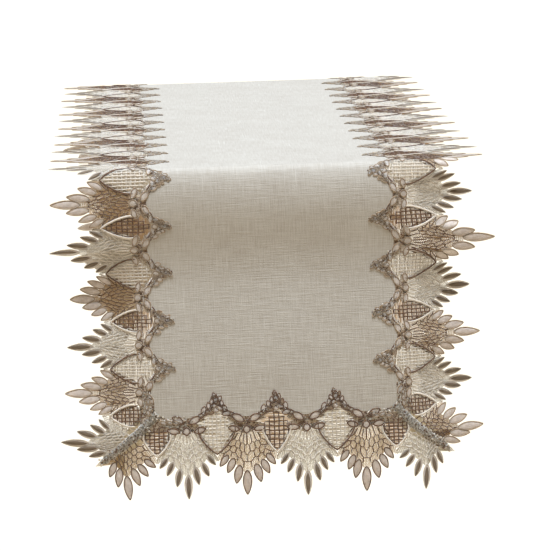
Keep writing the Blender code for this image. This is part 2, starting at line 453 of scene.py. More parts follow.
@dataclass(frozen=True)
class SlubLinen(Finish):
    """Natural flax, plain woven from unevenly spun yarn, washed and pressed.

    It gives the eye a dry, matt, greige cloth with a fine square weave, and long thick slubs that run with
    the warp and the weft.
    """

    name: str = "slub_linen_plain_woven"
    light: str = "#b8aea0"
    mid: str = "#aca193"
    dark: str = "#9d9181"
    slub: str = "#bfb6a8"
    roughness: float = 0.88
    sheen: float = 0.25
    sheen_tint: str = "#e8e2d6"
    thread_spacing: float = 1.1 * MM  # the real yarns lie 0.6 mm apart: too fine to show, so drawn coarser
    run_length: float = 17 * MM  # how long one yarn keeps its tone
    crossing_size: float = 0.88 * MM  # the small knobs where yarns cross, drawn coarser with them
    crossing_share: float = 0.5
    yarn_tones: tuple[float, float] = (0.95, 1.55)  # the weave's heights that are all dark and all light
    slub_length: float = 34 * MM
    slub_width: float = 1.2 * MM
    slub_tones: tuple[float, float] = (0.66, 0.80)
    cloud_size: tuple[float, float] = (50 * MM, 35 * MM)  # soft patches where the flax took the wash unevenly
    cloud_share: float = 0.35
    cloud_tones: tuple[float, float] = (0.35, 0.65)
    relief: float = 0.5 * MM

    def make(self) -> bpy.types.Material:
        """Makes the material.

        Returns:
            The material.
        """
        material, tree, shader, across, along = self.start(self.roughness, self.sheen, self.sheen_tint)
        yarns = [
            patches(tree, across, along, *sizes)
            for sizes in ((self.thread_spacing, self.run_length), (self.run_length, self.thread_spacing))
        ]
        woven = add_node(tree, "ShaderNodeMath", {"operation": "ADD"}, {0: yarns[0], 1: yarns[1]}).outputs[0]
        crossings = patches(tree, across, along, self.crossing_size, self.crossing_size, 1.0)
        halved = {"operation": "MULTIPLY", 1: self.crossing_share}
        rough = add_node(tree, "ShaderNodeMath", halved, {0: crossings}).outputs[0]
        surface = add_node(tree, "ShaderNodeMath", {"operation": "ADD"}, {0: woven, 1: rough}).outputs[0]
        cloth = blend_colours(tree, surface, self.dark, self.light, *self.yarn_tones)
        cloud = patches(tree, across, along, *self.cloud_size, 3.0)
        patchy = blend_colours(tree, cloud, self.mid, self.light, *self.cloud_tones)
        clouded = add_node(
            tree, "ShaderNodeMix", {"data_type": "RGBA", MIX_FACTOR: self.cloud_share},
            {MIX_FIRST: cloth, MIX_SECOND: patchy},
        )
        slubs = [
            patches(tree, across, along, *sizes, detail=1.0)
            for sizes in ((self.slub_length, self.slub_width), (self.slub_width, self.slub_length))
        ]
        thicker = add_node(tree, "ShaderNodeMath", {"operation": "MAXIMUM"}, {0: slubs[0], 1: slubs[1]})
        thick = thicker.outputs[0]
        colour = blend_colours(tree, thick, clouded.outputs[MIX_RESULT], self.slub, *self.slub_tones)
        tree.links.new(colour, shader.inputs["Base Color"])
        raised = add_node(tree, "ShaderNodeMath", {"operation": "ADD"}, {0: surface, 1: thick}).outputs[0]
        depth = {"Strength": BUMP_STRENGTH, "Distance": self.relief}
        bump = add_node(tree, "ShaderNodeBump", depth, {"Height": raised})
        tree.links.new(bump.outputs[0], shader.inputs["Normal"])
        return material


@dataclass(frozen=True)
class EmbroideryThread(Finish):
    """Spun polyester or cotton embroidery thread, wound round a cord or laid side by side as satin stitch.

    It gives the eye fine ribs across each petal or cord, with painted shade down between the stitches, a soft
    silky sheen, and tones that drift along the thread.
    """

    name: str
    colour: str
    shade: str  # painted shade down between the stitches, and the dark end of the thread's random tone drift
    stitch: float = 0.8 * MM  # the real stitches lie 0.35 mm apart; drawn coarser so that the ribs show
    slant: float = 0.35  # how far the stitches lean from straight across
    roughness: float = 0.6
    sheen: float = 1.0
    sheen_tint: str = "#f4efe8"
    relief: float = 0.12 * MM
    drift_size: tuple[float, float] = (6 * MM, 2 * MM)  # how long and wide a tone lasts
    rib_share: float = 0.22  # how much of the tone the ribs make, as painted shade down between the stitches; the drift makes the rest
    tones: tuple[float, float] = (0.18, 0.62)
    fleck: str = ""  # a second thread worked among the first, if there is one
    fleck_size: float = 1.3 * MM
    fleck_tones: tuple[float, float] = (0.50, 0.60)
    glow: float = 0.7  # spun thread lets light in on its lit side and out on the others
    glow_depth: float = 1.5 * MM
    glow_reach: tuple[float, float, float] = (1.0, 0.95, 0.85)

    def make(self) -> bpy.types.Material:
        """Makes the material.

        Returns:
            The material.
        """
        material, tree, shader, along, across = self.start(self.roughness, self.sheen, self.sheen_tint)
        shader.inputs["Subsurface Weight"].default_value = self.glow
        shader.inputs["Subsurface Scale"].default_value = self.glow_depth
        shader.inputs["Subsurface Radius"].default_value = self.glow_reach
        slanted = add_node(tree, "ShaderNodeMath", {"operation": "MULTIPLY", 1: self.slant}, {0: across})
        ribs = stripes(tree, along, self.stitch, slanted.outputs[0])
        drift = patches(tree, along, across, *self.drift_size)
        worked = add_node(tree, "ShaderNodeMath", {"operation": "MULTIPLY", 1: self.rib_share}, {0: ribs})
        tone = add_node(tree, "ShaderNodeMath", {"operation": "ADD"}, {0: worked.outputs[0], 1: drift})
        # The ribs paint shade into the colour down between the stitches; the drift is the thread's own random
        # tone.
        colour = blend_colours(tree, tone.outputs[0], self.shade, self.colour, *self.tones)
        if self.fleck:
            flecks = patches(tree, along, across, self.fleck_size, self.fleck_size, 1.0)
            colour = blend_colours(tree, flecks, colour, self.fleck, *self.fleck_tones)
        tree.links.new(colour, shader.inputs["Base Color"])
        depth = {"Strength": BUMP_STRENGTH, "Distance": self.relief}
        bump = add_node(tree, "ShaderNodeBump", depth, {"Height": ribs})
        tree.links.new(bump.outputs[0], shader.inputs["Normal"])
        return material


class Thread(Enum):
    """The threads that the lace, braid and seams are worked in."""

    # Each thread's second colour is the painted shade down between its stitches and the dark end of its
    # random tone.
    CREAM_CORD = EmbroideryThread("cream_net_thread", "#d9c9b6", "#ad9b86")
    BROWN_CORD = EmbroideryThread("brown_net_thread", "#6d4a2b", "#402813")
    CREAM_SATIN = EmbroideryThread("cream_satin_stitch", "#cfc0b2", "#a39180", slant=0.15)
    TAUPE_SATIN = EmbroideryThread("taupe_satin_stitch", "#7a654c", "#54432f", slant=0.15)
    MOSS_CORD = EmbroideryThread("moss_braid_thread", "#a1886b", "#735c43")
    SEAM_CORD = EmbroideryThread("grey_seam_thread", "#b8aa97", "#8a7d6b")
    # The sides' tan and oat grounds are darker partly as painted shade: they stand for the shade seen through
    # the lace.
    TAN_GROUND_AND_SHADE = EmbroideryThread("tan_ground_thread_and_painted_shade", "#b0854e", "#866131")
    OAT_GROUND_AND_SHADE = EmbroideryThread("oat_ground_thread_and_painted_shade", "#c4b29a", "#96846a")
    HONEY_GROUND = EmbroideryThread("honey_ground_thread", "#ca9f69", "#a17942")
    GREIGE_GROUND = EmbroideryThread("greige_ground_thread", "#c9b79b", "#9f8c6c")
    SEAM_GROUND = EmbroideryThread(
        "seam_chain_stitch", "#b4a997", "#857a69", fleck="#655a4b", relief=0.3 * MM
    )
    BRAID_GROUND = EmbroideryThread(
        "braid_chain_stitch", "#beac95", "#94806a", fleck="#6f5338", relief=0.3 * MM
    )


THREADS = list(Thread)
CORD_FLATNESS = 0.65  # worked thread is pressed flatter than it is wide
CORD_END = 0.6  # share of its width that a cord keeps where it is fastened off
PADDING_SHARE = 0.7  # how much of its padding a leaf or knot keeps once it is pressed
LEAF_BACK = 0.0003  # how far a leaf's back stands below its middle plane
LEAF_CORNERS = 12  # round a leaf's section
LEAF_GROOVE = 0.22
# Where a leaf's and a knot's sections are taken, from one end to the other.
LEAF_SHARES = (0.0, 0.05, 0.14, 0.27, 0.41, 0.55, 0.69, 0.82, 0.93, 1.0)
KNOT_SHARES = (0.0, 0.18, 0.5, 0.82, 1.0)


# --------------------------------------------------------------------------- needlework


class Needlework:
    """Gathers threads and padded stitches on the flat runner, and turns them into one hanging mesh."""

    def __init__(self, drape: Drape) -> None:
        """Starts an empty piece of work.

        Args:
            drape: how the cloth hangs.
        """
        self.drape = drape
        self.points: list[np.ndarray] = []
        self.faces: list[np.ndarray] = []
        self.layouts: list[np.ndarray] = []
        self.threads: list[np.ndarray] = []
        self.count = 0

    def roll(
        self,
        path: np.ndarray,
        width: np.ndarray,
        rise: np.ndarray,
        fall: np.ndarray,
        lift: np.ndarray | float,
        thread: Thread,
        sides: int = 6,
        groove: float = 0.0,
    ) -> None:
        """Adds a closed roll of thread along a path: a cord, a padded petal or a knot.

        Args:
            path: (x, s) rows.
            width: half width at each point.
            rise: height above the middle plane at each point.
            fall: depth below it.
            lift: height of the middle plane above the cloth's underside.
            thread: what it is worked in.
            sides: corners round the roll, an even number.
            groove: share of the height that a line along its middle is pulled down by.
        """
        rows = len(path)
        heading = np.gradient(path, axis=0)
        heading /= np.maximum(np.linalg.norm(heading, axis=1, keepdims=True), 1e-9)
        aside = np.column_stack((-heading[:, 1], heading[:, 0]))
        turn = np.arange(sides) / sides * tau
        sideways, upright = np.cos(turn), np.sin(turn)
        height = np.where(upright > 0, rise[:, None], fall[:, None]) * upright
        height = height * (1 - groove * (np.abs(sideways) < 0.1))
        offset = width[:, None] * sideways
        ring = np.empty((rows, sides, 3))
        ring[:, :, 0] = path[:, None, 0] + aside[:, None, 0] * offset
        ring[:, :, 1] = path[:, None, 1] + aside[:, None, 1] * offset
        ring[:, :, 2] = np.broadcast_to(np.asarray(lift, float).reshape(-1, 1), (rows, 1)) + height
        row, side = np.meshgrid(np.arange(rows - 1), np.arange(sides), indexing="ij")
        after = (side + 1) % sides
        near, far = row * sides, (row + 1) * sides
        quads = np.stack((near + side, near + after, far + after, far + side), -1).reshape(-1, 4)
        length = np.concatenate(([0], np.cumsum(np.linalg.norm(np.diff(path, axis=0), axis=1))))
        around = np.arange(sides + 1) / sides * pi * max(float(width.mean()), 1e-4)
        corners = ((row, side), (row, side + 1), (row + 1, side + 1), (row + 1, side))
        layout = np.stack([np.stack((length[a], around[b]), -1) for a, b in corners], 2).reshape(-1, 4, 2)
        fan = np.array([(0, n, n + 1, n + 2) for n in range(1, sides - 2, 2)])
        caps = np.concatenate((fan[:, ::-1], fan + (rows - 1) * sides))
        ends = np.repeat((0.0, length[-1]), len(fan))
        cap_layout = np.repeat(np.column_stack((ends, np.zeros(len(caps))))[:, None], 4, axis=1)
        self.points.append(ring.reshape(-1, 3))
        self.faces.append(np.concatenate((quads, caps)) + self.count)
        self.layouts.append(np.concatenate((layout, cap_layout)))
        self.threads.append(np.full(len(quads) + len(caps), THREADS.index(thread)))
        self.count += rows * sides

    def cord(
        self, path: np.ndarray, radius: float, thread: Thread, lift: float = 0.0007, sides: int = 6
    ) -> None:
        """Adds a thin cord along a path, tapered where it is fastened off.

        Args:
            path: (x, s) rows.
            radius: the cord's radius.
            thread: what it is worked in.
            lift: height of its middle.
            sides: corners round it.
        """
        width = np.full(len(path), radius)
        width[[0, -1]] *= CORD_END
        self.roll(path, width, width * CORD_FLATNESS, width * CORD_FLATNESS, lift, thread, sides)

    def leaf(
        self, base: Sequence[float], tip: Sequence[float], half_width: float, thread: Thread,
        height: float = 0.0011, outline: Thread | None = None, lift: float = 0.0005, blunt: float = 0.8,
        outline_radius: float = 0.00055,
    ) -> None:
        """Adds a padded satin-stitch leaf or oval, with a cord round it if asked.

        Args:
            base: its inner end, as (x, s).
            tip: its outer end.
            half_width: its half width.
            thread: what it is worked in.
            height: how far it is padded up.
            outline: the thread of the cord round it, if it has one.
            lift: height of its middle plane.
            blunt: below 1, its widest place is nearer the base.
            outline_radius: the radius of that cord.
        """
        share = np.array(LEAF_SHARES)
        full = np.sin(pi * np.clip(share, 0.004, 0.996) ** blunt) ** 0.72  # its ends stay a little open
        start, end = np.asarray(base, float), np.asarray(tip, float)
        path = start + (end - start) * share[:, None]
        rise = PADDING_SHARE * height * full**0.7
        self.roll(path, half_width * full, rise, LEAF_BACK * full, lift, thread, LEAF_CORNERS, LEAF_GROOVE)
        if outline is None:
            return
        ahead = end - start
        aside = np.array((-ahead[1], ahead[0])) / max(np.linalg.norm(ahead), 1e-9)
        reach = (half_width * full)[:, None] * aside
        loop = np.concatenate((path + reach, (path - reach)[::-1], (path + reach)[:2]))
        self.cord(loop, outline_radius, outline, lift + 0.4 * height)

    def knot(self, place: Sequence[float], radius: float, thread: Thread, lift: float = 0.0011) -> None:
        """Adds a small round knot.

        Args:
            place: its middle, as (x, s).
            radius: its radius.
            thread: what it is worked in.
            lift: height of its middle.
        """
        share = np.array(KNOT_SHARES)
        full = np.sin(pi * np.clip(share, 0.03, 0.97)) ** 0.6 * radius
        path = np.asarray(place, float) + np.column_stack(((share - 0.5) * 2 * radius, share * 0))
        self.roll(path, full, full * PADDING_SHARE, full * PADDING_SHARE, lift, thread)

    def finish(self, name: str, materials: dict[Thread, bpy.types.Material]) -> bpy.types.Object:
        """Hangs the work and makes its object.

        Args:
            name: the object's name.
            materials: the material of each thread.

        Returns:
            The object.
        """
        points = self.drape.place(np.concatenate(self.points))
        faces = np.concatenate(self.faces)
        used = np.concatenate(self.threads)
        mesh = bpy.data.meshes.new(name)
        mesh.vertices.add(len(points))
        mesh.vertices.foreach_set("co", points.astype(np.float32).ravel())
        mesh.loops.add(faces.size)
        mesh.loops.foreach_set("vertex_index", faces.astype(np.int32).ravel())
        mesh.polygons.add(len(faces))
        mesh.polygons.foreach_set("loop_start", np.arange(0, faces.size, 4, dtype=np.int32))
        kinds = sorted(set(used.tolist()))
        slots = {kind: slot for slot, kind in enumerate(kinds)}
        mesh.polygons.foreach_set("material_index", np.array([slots[kind] for kind in used], np.int32))
        for kind in kinds:
            mesh.materials.append(materials[THREADS[kind]])
        layer = mesh.uv_layers.new(name=LAYOUT)
        layer.data.foreach_set("uv", np.concatenate(self.layouts).astype(np.float32).ravel())
        mesh.update(calc_edges=True)
        mesh.validate()
        mesh.shade_smooth()
        piece = bpy.data.objects.new(name, mesh)
        bpy.context.scene.collection.objects.link(piece)
        return piece


# --------------------------------------------------------------------------- lace motifs


class FanKind(Enum):
    """The two fans that take turns along the lace."""

    PALE_PETALS = "broad cream petals on a brown net"
    DARK_PETALS = "slim taupe petals on a cream net"


@dataclass(frozen=True)
class Petal:
    """One petal of a fan: its tip as shares of the pitch and of the fan's length, and its own size."""

    along: float
    out: float
    length: float  # share of the fan's length
    half_width: float


@dataclass(frozen=True)
class NetStyle:
    """How a fan's net and petals are worked."""

    net: Thread
    net_radius: float
    ground: Thread
    petal: Thread
    petal_breadth: float  # share of the petal's full half width
    rows: tuple[float, ...]  # where the net's cross rows lie, as shares from the base to the petals


NET_STYLES = {
    FanKind.PALE_PETALS: NetStyle(
        Thread.BROWN_CORD, 0.00052, Thread.TAN_GROUND_AND_SHADE, Thread.CREAM_SATIN, 1.0,
        (0.0, 0.40, 0.61, 0.82, 1.0),
    ),
    FanKind.DARK_PETALS: NetStyle(
        Thread.CREAM_CORD, 0.00074, Thread.GREIGE_GROUND, Thread.TAUPE_SATIN, 0.56,
        (0.0, 0.32, 0.50, 0.67, 0.84, 1.0),
    ),
}


@dataclass(frozen=True)
class GridStyle:
    """A pointed panel of square net between two fans."""

    breadth: float  # its half width, as a share of the pitch
    columns: int
    rows: int
    net: Thread
    net_radius: float
    ground: Thread
    rim: Thread
    rim_radius: float


LONG_FAN_ROWS = (0.0, 0.36, 0.50, 0.63, 0.76, 0.88, 1.0)  # the side fans are longer, so they hold more rows
GROUNDS = {  # the ground's thread on the sides and at the ends, which are paler; the sides' darker tone is partly painted shade, standing for the shade seen through the lace
    (Thread.TAN_GROUND_AND_SHADE, False): Thread.HONEY_GROUND,
    (Thread.GREIGE_GROUND, True): Thread.OAT_GROUND_AND_SHADE,
}
DARK_GRID = GridStyle(
    breadth=0.235, columns=6, rows=9, net=Thread.BROWN_CORD, net_radius=0.00062, ground=Thread.TAN_GROUND_AND_SHADE,
    rim=Thread.CREAM_CORD, rim_radius=0.0009,
)
LIGHT_GRID = GridStyle(
    breadth=0.31, columns=9, rows=11, net=Thread.CREAM_CORD, net_radius=0.00056, ground=Thread.GREIGE_GROUND,
    rim=Thread.BROWN_CORD, rim_radius=0.00075,
)

# Half of a panel's outline: its half width against the way from its outer point to its arch.
PANEL_STATIONS = (
    (0, 0), (0.10, 0.30), (0.19, 0.50), (0.29, 0.70), (0.42, 0.89), (0.54, 1.0), (0.66, 0.98), (0.80, 0.68),
    (0.91, 0.36), (1, 0),
)
# Half the width of the net in the arch over a panel: mm from the linen's edge line, share of the pitch.
ARCH_STATIONS = (
    (-18, 0.02), (-12, 0.06), (-7, 0.13), (-2, 0.27), (0, 0.34), (10, 0.34), (12, 0.30),
)
ARCH_TOP, ARCH_FOOT = -0.0175, 0.012  # where that net starts and ends, from the linen's edge line
RIM_END = 0.66  # how far up a panel its rim cord runs
NET_LIFT, COLUMN_LIFT, RIM_LIFT = 0.0006, 0.0008, 0.0011  # of the cords' middles over the cloth's underside
SHORTEST_THREAD = 0.0012  # half the length of the shortest thread that is worth working

# Half of the line that the braid follows between a fan's middle and a sprig: shares of pitch and sprig.
SPRIG_LINE = ((0.0, 0.0), (0.22, 0.10), (0.38, 0.35), (0.44, 0.60), (0.50, 1.00))


@dataclass
class LaceRun:
    """The lace along one edge, or along half of a side."""

    edge: Edge
    fans: range
    grids: range
    petals: tuple[Petal, ...] = (
        Petal(0.455, 0.53, 0.200, 0.0027),
        Petal(0.345, 0.65, 0.230, 0.0031),
        Petal(0.190, 0.80, 0.280, 0.0035),
        Petal(0.000, 1.00, 0.365, 0.0037),
    )
    side_point: float = 0.39  # a grid's outer point from the braid, as a share of the fan's length
    end_point: float = 0.355
    corner_shift: float = 0.010  # how far a corner fan's base is moved out along the mitre
    corner_lean: float = 0.006  # and along the edge
    corner_share: float = 0.40  # half the mitre's gap past a corner fan, as a share of the pitch
    corner_end: float = 0.56  # where a corner fan's rim meets the mitre, as a share of the pitch
    corner_squeeze: float = 0.3  # share of its breadth that a corner fan's base keeps beside the mitre
    hollow: float = 0.001  # how far a fan's base dips in its middle
    bow: float = 0.10  # how far the outer spokes bow sideways, as a share of the pitch
    tip_stray: float = 0.0006  # how far hand work strays, here for a petal's tip
    net_stray: float = 0.00018  # and here for a thread of square net
    spokes: int = 8
    spoke_start: float = 0.14  # every other spoke starts this far out, as there is no room at the base
    ground_radius: float = 0.00030
    ground_spokes: int = 43
    ground_starts: tuple[float, float] = (0.08, 0.38)  # in turns, for the same reason
    ground_end: float = 1.10  # it runs on under the petals
    ground_rings: int = 29
    row_radius: float = 0.00044  # of the rows that fill a panel
    row_step: float = 0.0011
    web: float = 0.004  # how far the ground runs on past a panel's point, between two fans

    def fan_kind(self, number: int) -> FanKind:
        """Which fan comes at a number: the two take turns, and the order turns round from edge to edge."""
        starts_pale = self.edge.border in (Border.FRONT, Border.RIGHT)
        return FanKind.PALE_PETALS if (number % 2 == 0) == starts_pale else FanKind.DARK_PETALS

    def grid_style(self, number: int) -> GridStyle:
        """Which panel follows a fan."""
        return DARK_GRID if number % 2 == 0 else LIGHT_GRID

    def ground_thread(self, thread: Thread) -> Thread:
        """The thread that this edge's ground is worked in, for a style's usual one."""
        return GROUNDS.get((thread, self.edge.is_side), thread)

    @property
    def point_out(self) -> float:
        """How far a panel's outer point is from the linen."""
        share = self.side_point if self.edge.is_side else self.end_point
        return self.edge.pattern.braid + share * self.edge.fan_length

    def build(self, work: Needlework) -> None:
        """Works the whole run.

        Args:
            work: the needlework to add to.
        """
        seed = list(Border).index(self.edge.border) * 100 + self.fans.start
        chance = np.random.default_rng(seed)
        for number in self.fans:
            self.work_fan(work, number, chance)
        for number in self.grids:
            self.work_grid(work, number, chance)

    def breadth(self, number: int) -> float:
        """Half the width of a panel in metres, or of the mitre's gap past a corner fan."""
        if 0 <= number < self.edge.fans - 1:
            return self.grid_style(number).breadth * self.edge.pitch
        return self.corner_share * self.edge.pitch

    def work_fan(self, work: Needlework, number: int, chance: np.random.Generator) -> None:
        """Works one fan: its net, then its petals.

        Args:
            work: the needlework to add to.
            number: the fan's number along the edge.
            chance: the run's random numbers.
        """
        edge = self.edge
        style = NET_STYLES[self.fan_kind(number)]
        pitch, length, braid = edge.pitch, edge.fan_length, edge.pattern.braid
        place = edge.fan_place(number)
        corner = -1 if number == 0 else 1 if number == edge.fans - 1 else 0
        base = np.array((corner * self.corner_lean, braid + abs(corner) * self.corner_shift))
        tips, roots, petals = [], [], []
        for side in (-1, 1):
            for petal in self.petals if side < 0 else self.petals[-2::-1]:
                if side == corner and petal is self.petals[0]:
                    continue
                tip = np.array((side * petal.along * pitch, braid + petal.out * length))
                tip += chance.normal(0, self.tip_stray, 2)
                away = (tip - base) / np.linalg.norm(tip - base)
                tips.append(tip)
                roots.append(tip - away * petal.length * length)
                petals.append(petal)
        left, right = (pitch / 2 - self.breadth(number + side) for side in (-1, 0))
        ends = [np.array((side * pitch / 2, self.point_out + self.web)) for side in (-1, 1)]
        if corner:
            ends[corner > 0] = np.array((corner * self.corner_end * pitch, self.point_out + 1.5 * self.web))
        rim = np.array([ends[0], *roots, ends[1]])
        rim_share = np.linspace(-1, 1, len(rim))

        def at(across: np.ndarray | float, out: np.ndarray | float) -> np.ndarray:
            """Finds where a place of the net lies on the edge.

            Args:
                across: from -1 at one panel to 1 at the other.
                out: from 0 at the base to 1 at the petals.

            Returns:
                (along, out) rows.
            """
            across, out = np.broadcast_arrays(np.atleast_1d(across), np.atleast_1d(out))
            spread = 0.5 * across + 0.5 * across**3
            start_u = base[0] + np.where(spread < 0, left, right) * spread
            if corner:
                squeezed = base[0] + self.corner_squeeze * (start_u - base[0])
                start_u = np.where(across * corner > 0, squeezed, start_u)
            sunk = np.where(across * corner < 0, across**2, 0) * self.corner_shift
            start_v = base[1] - (1 - across**2) * self.hollow - sunk
            end_u = np.interp(across, rim_share, rim[:, 0])
            end_v = np.interp(across, rim_share, rim[:, 1])
            bow = across * out * (1 - out) * self.bow * pitch
            return np.column_stack((
                place + start_u + (end_u - start_u) * out + bow, start_v + (end_v - start_v) * out
            ))

        ground = self.ground_thread(style.ground)
        for thread, across in enumerate(np.linspace(-1, 1, self.ground_spokes)):
            outs = np.linspace(self.ground_starts[thread % 2], self.ground_end, 4)
            path = edge.lay(at(across + chance.normal(0, 0.004, 4), outs))
            work.cord(path, self.ground_radius, ground, lift=0.0002, sides=4)
        for out in np.linspace(0.06, 1.08, self.ground_rings):
            path = edge.lay(at(np.linspace(-1, 1, 15), out + chance.normal(0, 0.003, 15)))
            work.cord(path, self.ground_radius, ground, lift=0.0003, sides=4)
        self.work_net(work, style, at, chance)
        for petal, tip, root in zip(petals, tips, roots):
            ends_flat = edge.lay(np.array((root, tip)) + (place, 0))
            if style.petal is Thread.CREAM_SATIN:
                work.leaf(
                    *ends_flat, petal.half_width, style.petal, height=0.0013, outline=edge.outline,
                    outline_radius=0.0005,
                )
                continue
            # A slim dark petal lies on a broader cream one, and stands a little further out.
            work.leaf(
                *ends_flat, petal.half_width * 0.9, Thread.CREAM_SATIN, height=0.0007, outline=style.net,
                outline_radius=0.0004,
            )
            inner = ends_flat[0] * 0.9 + ends_flat[1] * 0.1, ends_flat[1] * 1.02 - ends_flat[0] * 0.02
            breadth = petal.half_width * style.petal_breadth
            work.leaf(*inner, breadth, style.petal, height=0.0012, lift=0.0008)

    def work_net(
        self, work: Needlework, style: NetStyle, at: Callable[..., np.ndarray], chance: np.random.Generator
    ) -> None:
        """Works a fan's net: spokes in rows, each row's set half a cell over, joined by zigzag cross threads.

        Args:
            work: the needlework to add to.
            style: the fan's threads and rows.
            at: carries (across, out) in the fan to a place on the edge.
            chance: the run's random numbers.
        """
        cells = self.spokes
        rows = LONG_FAN_ROWS if self.edge.is_side else style.rows
        step = 0.028 if self.edge.is_side else 0.035  # half the height of a zigzag, as a share of the fan
        for row, (low, high) in enumerate(zip(rows, rows[1:])):
            shift = 0.5 * (row % 2)
            start = low + (step if row else 0)
            end = high - (step if row < len(rows) - 2 else 0)
            for spoke in range(cells + 1 - row % 2):
                across = -1 + 2 * (spoke + shift) / cells
                begin = self.spoke_start if row == 0 and spoke % 2 else start
                outs = np.linspace(begin, end, 6 if row == 0 else 3)
                wobble = chance.normal(0, 0.008, len(outs)) * (outs > 0.1)
                path = self.edge.lay(at(np.clip(across + wobble, -1, 1), outs))
                work.cord(path, style.net_radius, style.net, lift=NET_LIFT)
            if row == len(rows) - 2:
                continue
            nodes = np.linspace(-1, 1, 2 * cells + 1)
            inward = (np.arange(2 * cells + 1) % 2 == 0) == (row % 2 == 0)
            outs = high + np.where(inward, -step, step) + chance.normal(0, 0.006, len(nodes))
            work.cord(self.edge.lay(at(nodes, outs)), style.net_radius * 0.9, style.net, lift=NET_LIFT)

    def panel_width(self, out: np.ndarray, number: int) -> np.ndarray:
        """Half the width of a panel at some distances from the linen.

        Args:
            out: the distances.
            number: the panel's number.

        Returns:
            The half widths.
        """
        inner = self.panel_inner(number)
        share = (self.point_out - out) / (self.point_out - inner)
        stations, widths = np.array(PANEL_STATIONS).T
        return np.interp(share, stations, widths) * self.breadth(number)

    def panel_inner(self, number: int) -> float:
        """Where a panel's arch ends, from the linen's edge line."""
        beside_corner = number in (0, self.edge.fans - 2)
        return 0.003 if beside_corner else -0.005

    def work_grid(self, work: Needlework, number: int, chance: np.random.Generator) -> None:
        """Works one pointed panel of square net and the rim cord round its outer end.

        Args:
            work: the needlework to add to.
            number: the panel's number along the edge.
            chance: the run's random numbers.
        """
        edge, style = self.edge, self.grid_style(number)
        middle = edge.fan_place(number) + edge.pitch / 2
        inner, outer = self.panel_inner(number), self.point_out
        fine = np.linspace(outer, inner, 41)
        widths = self.panel_width(fine, number)
        for out in np.arange(ARCH_TOP, outer - 0.0005, self.row_step):
            half = float(self.panel_width(np.array([out]), number)[0])
            if out < ARCH_FOOT:
                half = max(half, float(np.interp(out / MM, *np.array(ARCH_STATIONS).T)) * edge.pitch)
            path = np.column_stack((middle + np.linspace(-half, half, 7), out + chance.normal(0, 0.0001, 7)))
            thread = self.ground_thread(style.ground) if out > -0.004 else Thread.GREIGE_GROUND
            work.cord(edge.lay(path), self.row_radius, thread, lift=0.0001, sides=4)
        for row in range(style.rows):
            out = inner + (outer - inner) * (row + 0.6) / (style.rows + 0.6)
            half = float(self.panel_width(np.array([out]), number)[0])
            if half < SHORTEST_THREAD:
                continue
            spots = np.linspace(-half, half, max(3, round(half / 0.0018)))
            path = np.column_stack((middle + spots, out + chance.normal(0, self.net_stray, len(spots))))
            work.cord(edge.lay(path), style.net_radius, style.net, lift=NET_LIFT)
        for column in range(style.columns):
            along = self.breadth(number) * (2 * (column + 0.5) / style.columns - 1)
            inside = fine[widths >= abs(along)]
            if len(inside) < 3:
                continue
            spots = np.linspace(inside[0], inside[-1], max(3, round((inside[0] - inside[-1]) / 0.0035)))
            path = np.column_stack((middle + along + chance.normal(0, self.net_stray, len(spots)), spots))
            work.cord(edge.lay(path), style.net_radius, style.net, lift=COLUMN_LIFT)
        rim_outs = outer + (inner - outer) * np.linspace(0, RIM_END, 14)
        rim_widths = self.panel_width(rim_outs, number)
        rim = np.concatenate((
            np.column_stack((middle - rim_widths, rim_outs))[:0:-1],
            np.column_stack((middle + rim_widths, rim_outs)),
        ))
        work.cord(edge.lay(rim), style.rim_radius, style.rim, lift=RIM_LIFT)


# --------------------------------------------------------------------------- braid and seams


@dataclass(frozen=True)
class Oval:
    """One padded oval of the braid, from inner end to outer end, in mm along and out."""

    start: tuple[float, float]
    end: tuple[float, float]
    half_width: float


# The flower at a fan's base: a broad upper oval and a side oval to each side, one at the fan's root, and the
# chain stitch under them, which crosses from side to side.
FLOWER = (Oval((12.2, -1.6), (2.4, 4.2), 3.0), Oval((16.5, 9.4), (6.0, 12.0), 2.6))
FLOWER_ROOT = Oval((0.0, 7.8), (0.0, 15.0), 3.0)
FLOWER_GROUND = (
    Oval((-17.0, 1.5), (17.0, 1.5), 4.2),
    Oval((-17.5, 8.0), (17.5, 8.0), 4.4),
    Oval((-9.0, 11.0), (9.0, 11.0), 4.0),
)
OVAL_OUTLINE, SPRIG_OUTLINE = 0.00065, 0.00045  # radii of the cords round the flowers' and sprigs' leaves
# The cords that run through a sprig: thread, how far outwards from the braid's line, radius.
SPRIG_CORDS = (
    (Thread.BROWN_CORD, -0.0014, 0.0007),
    (Thread.CREAM_CORD, 0.0004, 0.0006),
    (Thread.BROWN_CORD, 0.0028, 0.0006),
)
LEAF_LIFT = 0.0009  # of a leaf's middle over the cloth's underside
BAND_CORNERS = 8  # round the section of a band of chain stitch


